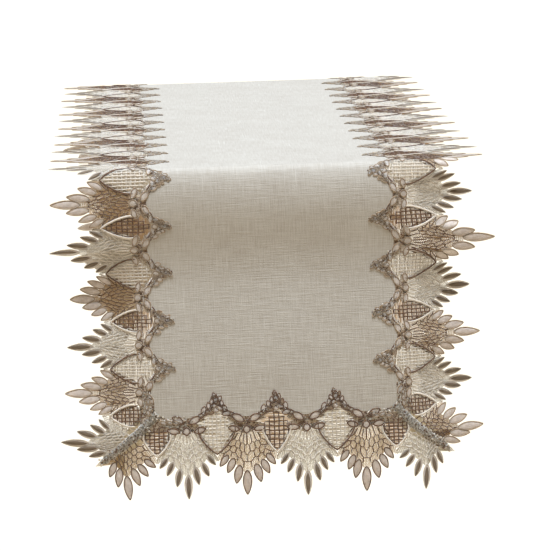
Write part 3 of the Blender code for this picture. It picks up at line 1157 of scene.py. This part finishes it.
@dataclass
class BraidRun:
    """The appliqué braid along one edge, or half of a side: flowers at the fans, sprigs between them."""

    edge: Edge
    fans: range
    grids: range
    sprig_band: tuple[float, float] = (0.0034, 0.0022)  # half width of a sprig's ground, from fan to tip
    sprig_leaves: int = 7
    first_leaf: float = 6.8  # mm long; each further up is shorter
    leaf_lessening: float = 0.35
    leaf_breadth: float = 0.31  # half a leaf's width, as a share of its length
    leaf_turn: float = 0.75  # how far a leaf turns off the braid's line, in radians
    pale_leaves: float = 0.72  # share of the leaves that are pale
    moss_knots: int = 20
    oval_stray: float = 0.0004
    corner_band: float = 0.0068  # half width of the band beside a corner
    corner_line: float = 0.0045  # how far out its middle runs
    corner_gaps: tuple[float, float] = (0.022, 0.030)  # how far its stitches stop short, on sides and at ends

    def line(self, share: np.ndarray) -> np.ndarray:
        """The braid's line from a fan's middle to a sprig's tip.

        Args:
            share: how far along the line, from 0 to 1.

        Returns:
            (along, out) rows.
        """
        stations = np.array(SPRIG_LINE)
        spots = np.linspace(0, 1, len(stations))
        along = np.interp(share, spots, stations[:, 0]) * self.edge.pitch
        out = -np.interp(share, spots, stations[:, 1]) * self.edge.pattern.sprig
        return np.column_stack((along, out))

    def build(self, work: Needlework) -> None:
        """Works the whole braid.

        Args:
            work: the needlework to add to.
        """
        seed = 1000 + list(Border).index(self.edge.border) * 100 + self.fans.start
        chance = np.random.default_rng(seed)
        for number in self.fans:
            if 0 < number < self.edge.fans - 1:
                self.work_flower(work, number, chance)
        for number in self.grids:
            if 0 < number < self.edge.fans - 2:
                self.work_sprig(work, number, chance)
            else:
                self.work_corner_band(work, number, chance)

    def work_flower(self, work: Needlework, number: int, chance: np.random.Generator) -> None:
        """Works the flower at a fan's base.

        Args:
            work: the needlework to add to.
            number: the fan's number.
            chance: the run's random numbers.
        """
        place = np.array((self.edge.fan_place(number), 0.0))
        narrow = self.edge.pitch / self.edge.pattern.end_pitch
        for oval in FLOWER_GROUND:
            patch = self.edge.lay(np.array((oval.start, oval.end)) * MM * (narrow, 1) + place)
            work.leaf(*patch, oval.half_width * MM, Thread.BRAID_GROUND, height=0.0005, lift=0.0004)
        for side in (-1, 1):
            for oval in FLOWER:
                ends = np.array((oval.start, oval.end)) * MM * (side * narrow, 1) + place
                ends += chance.normal(0, self.oval_stray, (2, 2))
                work.leaf(
                    *self.edge.lay(ends), oval.half_width * MM * (0.5 + narrow / 2), Thread.CREAM_SATIN,
                    outline=self.edge.outline, lift=0.0008, blunt=1.0, outline_radius=OVAL_OUTLINE,
                )
        ends = np.array((FLOWER_ROOT.start, FLOWER_ROOT.end)) * MM + place
        work.leaf(
            *self.edge.lay(ends), FLOWER_ROOT.half_width * MM, Thread.CREAM_SATIN,
            outline=self.edge.outline, lift=LEAF_LIFT, blunt=1.0, outline_radius=OVAL_OUTLINE,
        )
        for _ in range(self.moss_knots):
            spot = place + (chance.uniform(-0.008, 0.008) * narrow, chance.uniform(0.002, 0.010))
            thread = Thread.BROWN_CORD if chance.random() < 0.6 else Thread.MOSS_CORD
            work.knot(self.edge.lay(spot[None])[0], chance.uniform(0.0006, 0.0010), thread, lift=LEAF_LIFT)

    def work_sprig(self, work: Needlework, number: int, chance: np.random.Generator) -> None:
        """Works the leaf sprig between two fans: small leaves that climb both ways to its tip.

        Args:
            work: the needlework to add to.
            number: the number of the panel that it stands over.
            chance: the run's random numbers.
        """
        edge = self.edge
        middle = edge.fan_place(number) + edge.pitch / 2
        narrow = edge.pitch / edge.pattern.end_pitch

        def climb(share: np.ndarray | float, side: int) -> np.ndarray:
            """Finds places on the line that climbs to the sprig's tip.

            Args:
                share: how far along it, from 0 at the fan to 1 at the tip.
                side: -1 or 1, the fan that it climbs from.

            Returns:
                (along, out) rows.
            """
            spot = self.line(np.atleast_1d(share))
            return np.column_stack((middle + side * (edge.pitch / 2 - spot[:, 0]), spot[:, 1]))

        for side in (-1, 1):
            shares = np.linspace(0.22, 1.0, 12)
            band = np.linspace(*self.sprig_band, 12)
            band[[0, -1]] *= 0.5
            path = edge.lay(climb(shares, side) + (0, 0.0008))
            work.roll(path, band, band * 0.2, band * 0.1, 0.0005, Thread.BRAID_GROUND, BAND_CORNERS)
            for thread, away, radius in SPRIG_CORDS:
                path = climb(shares, side) + (0, away)
                path[:, 0] += np.sin(np.arange(12) * 1.9) * 0.0006
                work.cord(edge.lay(path), radius, thread, lift=RIM_LIFT)
            for leaf in range(self.sprig_leaves):
                share = 0.34 + 0.60 * leaf / (self.sprig_leaves - 1)
                root = climb(share, side)[0]
                ahead = climb(share + 0.04, side)[0] - root
                turn = self.leaf_turn if leaf % 2 else -self.leaf_turn
                angle = np.arctan2(ahead[1], ahead[0]) + turn + chance.normal(0, 0.15)
                size = (self.first_leaf - self.leaf_lessening * leaf) * MM * (0.6 + 0.4 * narrow)
                tip = root + size * np.array((cos(angle), sin(angle)))
                root = root - 0.15 * (tip - root)  # its root is tucked under the cords
                thread = Thread.CREAM_SATIN if chance.random() < self.pale_leaves else Thread.MOSS_CORD
                work.leaf(
                    *edge.lay(np.array((root, tip))), size * self.leaf_breadth, thread,
                    outline=edge.outline, lift=LEAF_LIFT, blunt=1.0, outline_radius=SPRIG_OUTLINE,
                )
        for inner, outer, half_width, outline in (
            (-0.0125, -0.0205, 0.0021, edge.outline), (-0.0045, -0.0105, 0.0022, Thread.MOSS_CORD),
        ):
            heart = edge.lay(np.array(((middle, inner), (middle, outer))))
            work.leaf(
                *heart, half_width, Thread.CREAM_SATIN, height=0.0012, outline=outline, lift=LEAF_LIFT
            )
        for _ in range(2 * self.moss_knots):
            side = -1 if chance.random() < 0.5 else 1
            spot = climb(chance.uniform(0.3, 0.98), side)[0] + chance.normal(0, 0.0012, 2)
            pick = chance.random()
            lighter = Thread.MOSS_CORD if pick < 0.75 else Thread.CREAM_CORD
            thread = Thread.BROWN_CORD if pick < 0.5 else lighter
            work.knot(edge.lay(spot[None])[0], chance.uniform(0.0006, 0.0011), thread)

    def work_corner_band(self, work: Needlework, number: int, chance: np.random.Generator) -> None:
        """Works the mossy band that carries the braid round to the mitre, where there is no sprig.

        Args:
            work: the needlework to add to.
            number: the number of the panel beside the corner.
            chance: the run's random numbers.
        """
        edge = self.edge
        towards = -1 if number == 0 else 1
        inner_fan = edge.fan_place(1 if number == 0 else edge.fans - 2)
        mitre = edge.fan_place(0 if number == 0 else edge.fans - 1)
        limit = mitre - towards * self.corner_gaps[0 if edge.is_side else 1]
        alongs = np.linspace(inner_fan, limit + towards * 0.012, 12)
        band = np.full(12, self.corner_band)
        band[[0, -1]] *= 0.6
        path = edge.lay(np.column_stack((alongs, np.full(12, self.corner_line))))
        work.roll(path, band, band * 0.1, band * 0.05, 0.0004, Thread.BRAID_GROUND, BAND_CORNERS)
        for row, thread in enumerate((Thread.CREAM_CORD, Thread.BROWN_CORD, Thread.SEAM_CORD)):
            spots = np.linspace(inner_fan, limit, 16)
            outs = 0.001 + row * 0.0025 + np.sin(np.arange(16) * 2.2 + row) * 0.0009
            work.cord(edge.lay(np.column_stack((spots, outs))), 0.0007, thread, lift=0.001)
        for _ in range(2 * self.moss_knots):
            along = inner_fan + (limit - inner_fan) * chance.random()
            spot = np.array((along, chance.uniform(-0.002, 0.009)))
            thread = (Thread.BROWN_CORD, Thread.MOSS_CORD, Thread.SEAM_CORD)[int(chance.integers(3))]
            work.knot(edge.lay(spot[None])[0], chance.uniform(0.0007, 0.0012), thread)
        for share in (0.30, 0.55, 0.80):
            root = np.array((inner_fan + (limit - inner_fan) * share, 0.004))
            tip = root + np.array((towards * 0.0055, chance.uniform(-0.003, 0.001)))
            ends = edge.lay(np.array((root, tip)))
            work.leaf(
                *ends, 0.0016, Thread.CREAM_SATIN, height=0.0013, outline=Thread.MOSS_CORD, lift=LEAF_LIFT
            )


@dataclass
class MitreSeam:
    """The close zigzag of stitches that joins side lace to end lace at one corner."""

    side: Border
    end: Border
    pattern: Pattern
    half_width: float = 0.0034
    stitch: float = 0.0017
    knots: int = 90
    # Half the width at the linen, at a place further out and at the seam's outer end: of the web of ground
    # thread under it in metres, of the rest as shares of half_width.
    web_widths: tuple[float, float, float] = (0.006, 0.0105, 0.006)
    web_widest: float = 0.3  # share of the seam where that place lies; for the rest, the braid's outer line
    ground_widths: tuple[float, float, float] = (1.2, 1.35, 0.7)
    zigzag_widths: tuple[float, float, float] = (1.1, 1.15, 0.45)
    web_run: float = 0.72  # share of the seam that the web lies under
    corners: int = 10  # round the section of the web and of the ground

    def build(self, work: Needlework) -> None:
        """Works the seam.

        Args:
            work: the needlework to add to.
        """
        pattern = self.pattern
        x_sign = -1 if self.side is Border.LEFT else 1
        s_sign = -1 if self.end is Border.FRONT else 1
        inset = pattern.corner_radius * (1 - cos(pi / 4))
        stops = np.array((
            (pattern.linen_half_width - inset, pattern.linen_half_length - inset),
            (pattern.linen_half_width + pattern.braid, pattern.linen_half_length + pattern.braid),
            (pattern.half_width - pattern.end_corner_reach + pattern.end_pitch / 2,
             pattern.half_length - pattern.side_corner_reach + pattern.side_pitch / 2),
        ))
        lengths = np.concatenate(([0], np.cumsum(np.linalg.norm(np.diff(stops, axis=0), axis=1))))
        chance = np.random.default_rng(2000 + 10 * x_sign + s_sign)
        signs = np.array((x_sign, s_sign))

        def at(distance: np.ndarray, aside: np.ndarray) -> np.ndarray:
            """Finds places beside the seam's line.

            Args:
                distance: how far along the seam.
                aside: how far to one side of it.

            Returns:
                (x, s) rows.
            """
            line = np.column_stack([np.interp(distance, lengths, stops[:, n]) for n in (0, 1)])
            further = distance + 0.001
            ahead = np.column_stack([np.interp(further, lengths, stops[:, n]) for n in (0, 1)]) - line
            stuck = np.linalg.norm(ahead, axis=1) < 1e-5  # at the end of the seam, which runs out diagonally
            ahead[stuck] = (0.0007, 0.0007)
            ahead /= np.linalg.norm(ahead, axis=1, keepdims=True)
            return (line + np.column_stack((ahead[:, 1], -ahead[:, 0])) * aside[:, None]) * signs

        whole = lengths[-1]
        distance = np.linspace(0.002, self.web_run * whole, 16)
        band = np.interp(distance, (0, self.web_widest * whole, whole), self.web_widths)
        band[[0, -1]] *= 0.5
        under = at(distance, np.zeros(16))
        work.roll(under, band, band * 0.02, band * 0.02, 0.0003, Thread.GREIGE_GROUND, self.corners)
        distance = np.linspace(0, whole, 30)
        band = np.interp(distance, (0, lengths[1], whole), self.ground_widths) * self.half_width
        band[[0, -1]] *= 0.5
        over = at(distance, np.zeros(30))
        work.roll(over, band, band * 0.25, band * 0.1, 0.0006, Thread.SEAM_GROUND, self.corners)
        count = int(whole / self.stitch)
        for layer, thread in enumerate((Thread.SEAM_CORD, Thread.CREAM_CORD, Thread.MOSS_CORD)):
            distance = (np.arange(count) + layer / 3) * self.stitch
            taper = np.interp(distance, (0, lengths[1], whole), self.zigzag_widths)
            aside = np.where(np.arange(count) % 2 == 0, 1, -1) * self.half_width * taper
            aside += chance.normal(0, 0.0005, count)
            work.cord(at(distance, aside), 0.0006, thread, lift=0.0009 + 0.0003 * layer)
        for _ in range(self.knots):
            distance = np.array([chance.uniform(0, whole)])
            aside = np.array([chance.normal(0, self.half_width * 0.55)])
            pick = chance.random()
            stronger = Thread.CREAM_CORD if pick < 0.7 else Thread.BROWN_CORD
            thread = Thread.SEAM_CORD if pick < 0.5 else stronger
            work.knot(at(distance, aside)[0], chance.uniform(0.0007, 0.0012), thread, lift=0.0013)


# --------------------------------------------------------------------------- linen


@dataclass
class LinenPanel:
    """One half of the linen sheet, cut along the braid's inner line and rounded at its corners."""

    half: Half
    pattern: Pattern
    drape: Drape
    thickness: float = 0.0009
    mesh_step: float = 0.004
    fold_step: float = 0.001  # the mesh is closer where the cloth turns over the table's edge
    fold_run: float = 0.02
    drop_step: float = 0.003
    edge_gap: float = 0.0012  # no inner point comes nearer to the outline than this
    corner_steps: int = 8

    def sprig_cut(self, edge: Edge) -> list[tuple[float, float]]:
        """The linen's cut along one edge: out to the edge line at each fan, in to each sprig's tip.

        Args:
            edge: the edge of the linen.

        Returns:
            (along, how far in) points.
        """
        points = []
        for number in range(1, edge.fans - 1):
            place = edge.fan_place(number)
            points.append((place, 0.0))
            if number == edge.fans - 2:
                break
            rising = [(u * edge.pitch, w * self.pattern.sprig) for u, w in SPRIG_LINE[1:]]
            points += [(place + u, depth) for u, depth in rising]
            points += [(place + edge.pitch - u, depth) for u, depth in reversed(rising[:-1])]
        return points

    def outline(self) -> list[tuple[float, float]]:
        """The half's outline on the flat runner, with the cut across the middle of the top at s = 0.

        Returns:
            (x, s) points in order round it.
        """
        pattern = self.pattern
        side = [(along, depth) for along, depth in self.sprig_cut(Edge(Border.RIGHT, pattern)) if along > 0]
        right = [(pattern.linen_half_width - depth, along) for along, depth in side]
        middle_x = pattern.linen_half_width - pattern.sprig
        centre = np.array((pattern.linen_half_width, pattern.linen_half_length)) - pattern.corner_radius
        steps = self.corner_steps
        turns = [pi / 2 * step / steps for step in range(steps + 1)]
        corner = [tuple(centre + pattern.corner_radius * np.array((cos(t), sin(t)))) for t in turns]
        end_cut = self.sprig_cut(Edge(Border.REAR, pattern))
        end = [(x, pattern.linen_half_length - depth) for x, depth in end_cut]
        quarter = [(middle_x, 0.0), *right, *corner]
        loop = quarter + end[::-1] + [(-x, s) for x, s in reversed(quarter)]
        sign = -1 if self.half is Half.FRONT else 1
        return [(x, sign * s) for x, s in loop]

    def build(self, material: bpy.types.Material) -> bpy.types.Object:
        """Makes the panel.

        Args:
            material: the linen.

        Returns:
            The object.
        """
        outline = [Vector(point) for point in self.outline()]
        loop = [(n, (n + 1) % len(outline)) for n in range(len(outline))]
        inside = self.inner_points(np.array([tuple(point) for point in outline]))
        places, _, faces, *_ = delaunay_2d_cdt(outline + inside, loop, [], 1, 1e-7)
        sheet = bmesh.new()
        vertices = [sheet.verts.new((place.x, place.y, 0)) for place in places]
        for face in faces:
            sheet.faces.new([vertices[n] for n in face])
        bmesh.ops.recalc_face_normals(sheet, faces=sheet.faces[:])
        if sum(face.normal.z for face in sheet.faces) < 0:
            bmesh.ops.reverse_faces(sheet, faces=sheet.faces[:])
        upper = bmesh.ops.extrude_face_region(sheet, geom=sheet.faces[:])
        raised = [item for item in upper["geom"] if isinstance(item, bmesh.types.BMVert)]
        bmesh.ops.translate(sheet, verts=raised, vec=(0, 0, self.thickness))
        bmesh.ops.recalc_face_normals(sheet, faces=sheet.faces[:])
        # The extrusion adds the cut edge's faces in a different order on each run.
        ordered = sorted(sheet.faces, key=lambda face: tuple(face.calc_center_median()))
        ranks = {face: rank for rank, face in enumerate(ordered)}
        sheet.faces.sort(key=ranks.get)
        layer = sheet.loops.layers.uv.new(LAYOUT)
        for face in sheet.faces:
            for corner in face.loops:
                corner[layer].uv = corner.vert.co.xy
        flat = np.array([tuple(vertex.co) for vertex in sheet.verts])
        for vertex, place in zip(sheet.verts, self.drape.place(flat)):
            vertex.co = place
        name = f"linen_{self.half.value}_half"
        mesh = bpy.data.meshes.new(name)
        sheet.to_mesh(mesh)
        sheet.free()
        mesh.materials.append(material)
        mesh.shade_smooth()
        mesh.set_sharp_from_angle(angle=radians(50))
        piece = bpy.data.objects.new(name, mesh)
        bpy.context.scene.collection.objects.link(piece)
        return piece

    def inner_points(self, outline: np.ndarray) -> list[Vector]:
        """Points on an even mesh inside the outline, closer together round the fold.

        Args:
            outline: (x, s) rows.

        Returns:
            The points.
        """
        step, top_half, end = self.mesh_step, self.pattern.top_half, self.pattern.linen_half_length
        sign = -1 if self.half is Half.FRONT else 1
        lengthwise = np.concatenate((
            np.arange(0, top_half - step / 2, step),
            np.arange(top_half, top_half + self.fold_run, self.fold_step),
            np.arange(top_half + self.fold_run + self.fold_step, end, self.drop_step),
        ))
        across = np.arange(-self.pattern.linen_half_width + step / 2, self.pattern.linen_half_width, step)
        spots = np.array([(x, sign * s) for s in lengthwise for x in across])
        ahead = np.roll(outline, -1, axis=0)
        inside = np.zeros(len(spots), bool)
        distance = np.full(len(spots), np.inf)
        for (x0, s0), (x1, s1) in zip(outline, ahead):
            crosses = (s0 > spots[:, 1]) != (s1 > spots[:, 1])
            at_x = x0 + (spots[:, 1] - s0) / (s1 - s0 if s1 != s0 else 1e-12) * (x1 - x0)
            inside ^= crosses & (spots[:, 0] < at_x)
            run = np.array((x1 - x0, s1 - s0))
            share = np.clip(((spots - (x0, s0)) @ run) / (run @ run), 0, 1)
            distance = np.minimum(distance, np.linalg.norm(spots - (x0, s0) - share[:, None] * run, axis=1))
        on_cut = np.abs(spots[:, 1]) < 1e-9
        return [Vector(spot) for spot in spots[inside & (distance > self.edge_gap) & ~on_cut]]


# --------------------------------------------------------------------------- the runner


@dataclass
class TableRunner:
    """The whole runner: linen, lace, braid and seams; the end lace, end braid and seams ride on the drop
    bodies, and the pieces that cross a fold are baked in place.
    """

    pattern: Pattern = field(default_factory=Pattern)
    bend_run: float = 0.016  # how far past the table's edge a piece would take to follow its drop wholly; bend works out that point but does not use it

    def __post_init__(self) -> None:
        """Settles the drape and makes the materials."""
        self.drape = Drape(self.pattern)
        self.threads = {thread: thread.value.make() for thread in Thread}
        self.linen = SlubLinen().make()

    def bend(self, piece: bpy.types.Object, half: Half) -> None:
        """Bakes a piece's transform into its mesh; the drape has already bent it over its half's fold, from
        the table top to the drop.

        Args:
            piece: the piece.
            half: the half that it belongs to.
        """
        sign = -1 if half is Half.FRONT else 1
        pattern = self.pattern
        end = self.drape.place(np.array([(0.0, sign * (pattern.top_half + self.bend_run), 0.0)]))[0]
        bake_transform(piece)

    def stitch(
        self, name: str, run: LaceRun | BraidRun | MitreSeam, slot: str, half: Half, nodes: Sequence[str],
        bends: bool = False,
    ) -> bpy.types.Object:
        """Works a run into one piece; one that stays off the fold is fastened to its drop's body.

        Args:
            name: the piece's name.
            run: what is worked.
            slot: not used.
            half: the half that it belongs to.
            nodes: the CAD nodes that it stands for.
            bends: whether it crosses the fold.

        Returns:
            The piece.
        """
        work = Needlework(self.drape)
        run.build(work)
        piece = work.finish(name, self.threads)
        if bends:
            self.bend(piece, half)
        else:
            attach(piece, f"{half.value}_drop")
        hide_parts(*nodes)
        log.info("%s: %d faces", name, len(piece.data.polygons))
        return piece

    def build_half(self, half: Half) -> None:
        """Builds one half of the runner.

        Args:
            half: which one.
        """
        pattern, front = self.pattern, half is Half.FRONT
        sections = [f"{half.value}_drop", f"{half.value}_fold"] + (["top"] if front else [])
        middle = pattern.side_fans // 2
        fans = range(0, middle) if front else range(middle, pattern.side_fans)
        grids = range(0, middle) if front else range(middle, pattern.side_fans - 1)
        for border in (Border.LEFT, Border.RIGHT):
            edge = Edge(border, pattern)
            for kind, run in (("lace", LaceRun(edge, fans, grids)), ("braid", BraidRun(edge, fans, grids))):
                nodes = [f"{kind}_{border.value}_{section}" for section in sections]
                name = f"{kind}_{border.value}_{half.value}"
                self.stitch(name, run, f"{kind}_thread", half, nodes, bends=True)
        end = Border.FRONT if front else Border.REAR
        edge = Edge(end, pattern)
        fans, grids = range(pattern.end_fans), range(pattern.end_fans - 1)
        for kind, motif, run in (
            ("lace", "fans", LaceRun(edge, fans, grids)), ("braid", "flowers", BraidRun(edge, fans, grids)),
        ):
            node = f"{kind}_{end.value}_end"
            self.stitch(f"{node}_{motif}", run, f"{kind}_thread", half, [node])
        for side in (Border.LEFT, Border.RIGHT):
            node = f"mitre_seam_{end.value}_{side.value}"
            seam = MitreSeam(side, end, pattern)
            self.stitch(f"{node}_zigzag", seam, "seam_thread", half, [node])
        panel = LinenPanel(half, pattern, self.drape).build(self.linen)
        self.bend(panel, half)
        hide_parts(*[f"linen_{section}" for section in sections])
        log.info("%s: %d faces", panel.name, len(panel.data.polygons))

    def build(self) -> None:
        """Builds both halves."""
        for half in Half:
            self.build_half(half)


# --------------------------------------------------------------------------- studio


@dataclass(frozen=True)
class Studio:
    """A plain pale floor, a broad soft light overhead, and the camera."""

    floor_drop: float = 0.75  # the floor lies a table's height below the runner
    floor_size: float = 60.0
    floor_colour: str = "#9c8f7c"
    floor_glow: str = "#cbc6bb"  # it is lit a little from below, as a light table is, so shadows stay pale
    key_lean: float = radians(5)  # the overhead light leans this far towards the front
    key_spread: float = radians(24)
    key_strength: float = 8.2
    key_colour: str = "#e0eeff"
    surround_colour: str = "#fff0dd"
    surround_strength: float = 0.10
    camera_place: tuple[float, float, float] = (-0.127, -2.371, 0.404)
    camera_yaw: float = radians(3.53)
    camera_down: float = radians(13.27)
    camera_roll: float = radians(-1.36)
    lens: float = 161.3
    sensor: float = 36.0

    def build(self) -> None:
        """Sets up the studio."""
        self.lay_floor()
        self.hang_lights()
        self.place_camera()

    def lay_floor(self) -> None:
        """Lays the floor."""
        half = self.floor_size / 2
        mesh = bpy.data.meshes.new("studio_floor")
        corners = [(-half, -half, 0), (half, -half, 0), (half, half, 0), (-half, half, 0)]
        mesh.from_pydata(corners, [], [(0, 1, 2, 3)])
        material = bpy.data.materials.new("pale_paper_sweep")
        material.use_nodes = True
        shader = material.node_tree.nodes["Principled BSDF"]
        shader.inputs["Base Color"].default_value = linear(self.floor_colour)
        shader.inputs["Roughness"].default_value = 0.95
        shader.inputs["Specular IOR Level"].default_value = 0.1
        shader.inputs["Emission Color"].default_value = linear(self.floor_glow)
        shader.inputs["Emission Strength"].default_value = 1.0
        mesh.materials.append(material)
        floor = bpy.data.objects.new("studio_floor", mesh)
        floor.location = (0, 0, -self.floor_drop)
        bpy.context.scene.collection.objects.link(floor)

    def hang_lights(self) -> None:
        """Hangs the overhead light and sets the dim surround."""
        key = bpy.data.lights.new("overhead_softbox", "SUN")
        key.energy, key.angle = self.key_strength, self.key_spread
        key.color = linear(self.key_colour)[:3]
        lamp = bpy.data.objects.new("overhead_softbox", key)
        towards = Vector((0, -sin(self.key_lean), cos(self.key_lean)))
        lamp.rotation_euler = towards.to_track_quat("Z", "Y").to_euler()
        bpy.context.scene.collection.objects.link(lamp)
        world = bpy.data.worlds.new("studio_surround")
        world.use_nodes = True
        surround = world.node_tree.nodes["Background"]
        surround.inputs["Color"].default_value = linear(self.surround_colour)
        surround.inputs["Strength"].default_value = self.surround_strength
        bpy.context.scene.world = world
        bpy.context.scene.view_settings.view_transform = "Standard"

    def place_camera(self) -> None:
        """Places the camera, with its slight roll."""
        data = bpy.data.cameras.new("camera")
        data.lens, data.sensor_width, data.clip_end = self.lens, self.sensor, 200
        yaw, down = self.camera_yaw, self.camera_down
        ahead = Vector((sin(yaw) * cos(down), cos(yaw) * cos(down), -sin(down)))
        right = Vector((cos(yaw), -sin(yaw), 0))
        above = right.cross(ahead)
        turn, lean = cos(self.camera_roll), sin(self.camera_roll)
        right, above = turn * right + lean * above, turn * above - lean * right
        camera = bpy.data.objects.new("camera", data)
        rotation = Matrix((right, above, -ahead)).transposed().to_4x4()
        camera.matrix_world = Matrix.Translation(self.camera_place) @ rotation
        bpy.context.scene.collection.objects.link(camera)
        bpy.context.scene.camera = camera


def main() -> None:
    """Builds the runner and its studio."""
    logging.basicConfig(level=logging.INFO, format="%(name)s: %(message)s")
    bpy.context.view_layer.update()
    TableRunner().build()
    Studio().build()


if __name__ == "__main__":
    main()
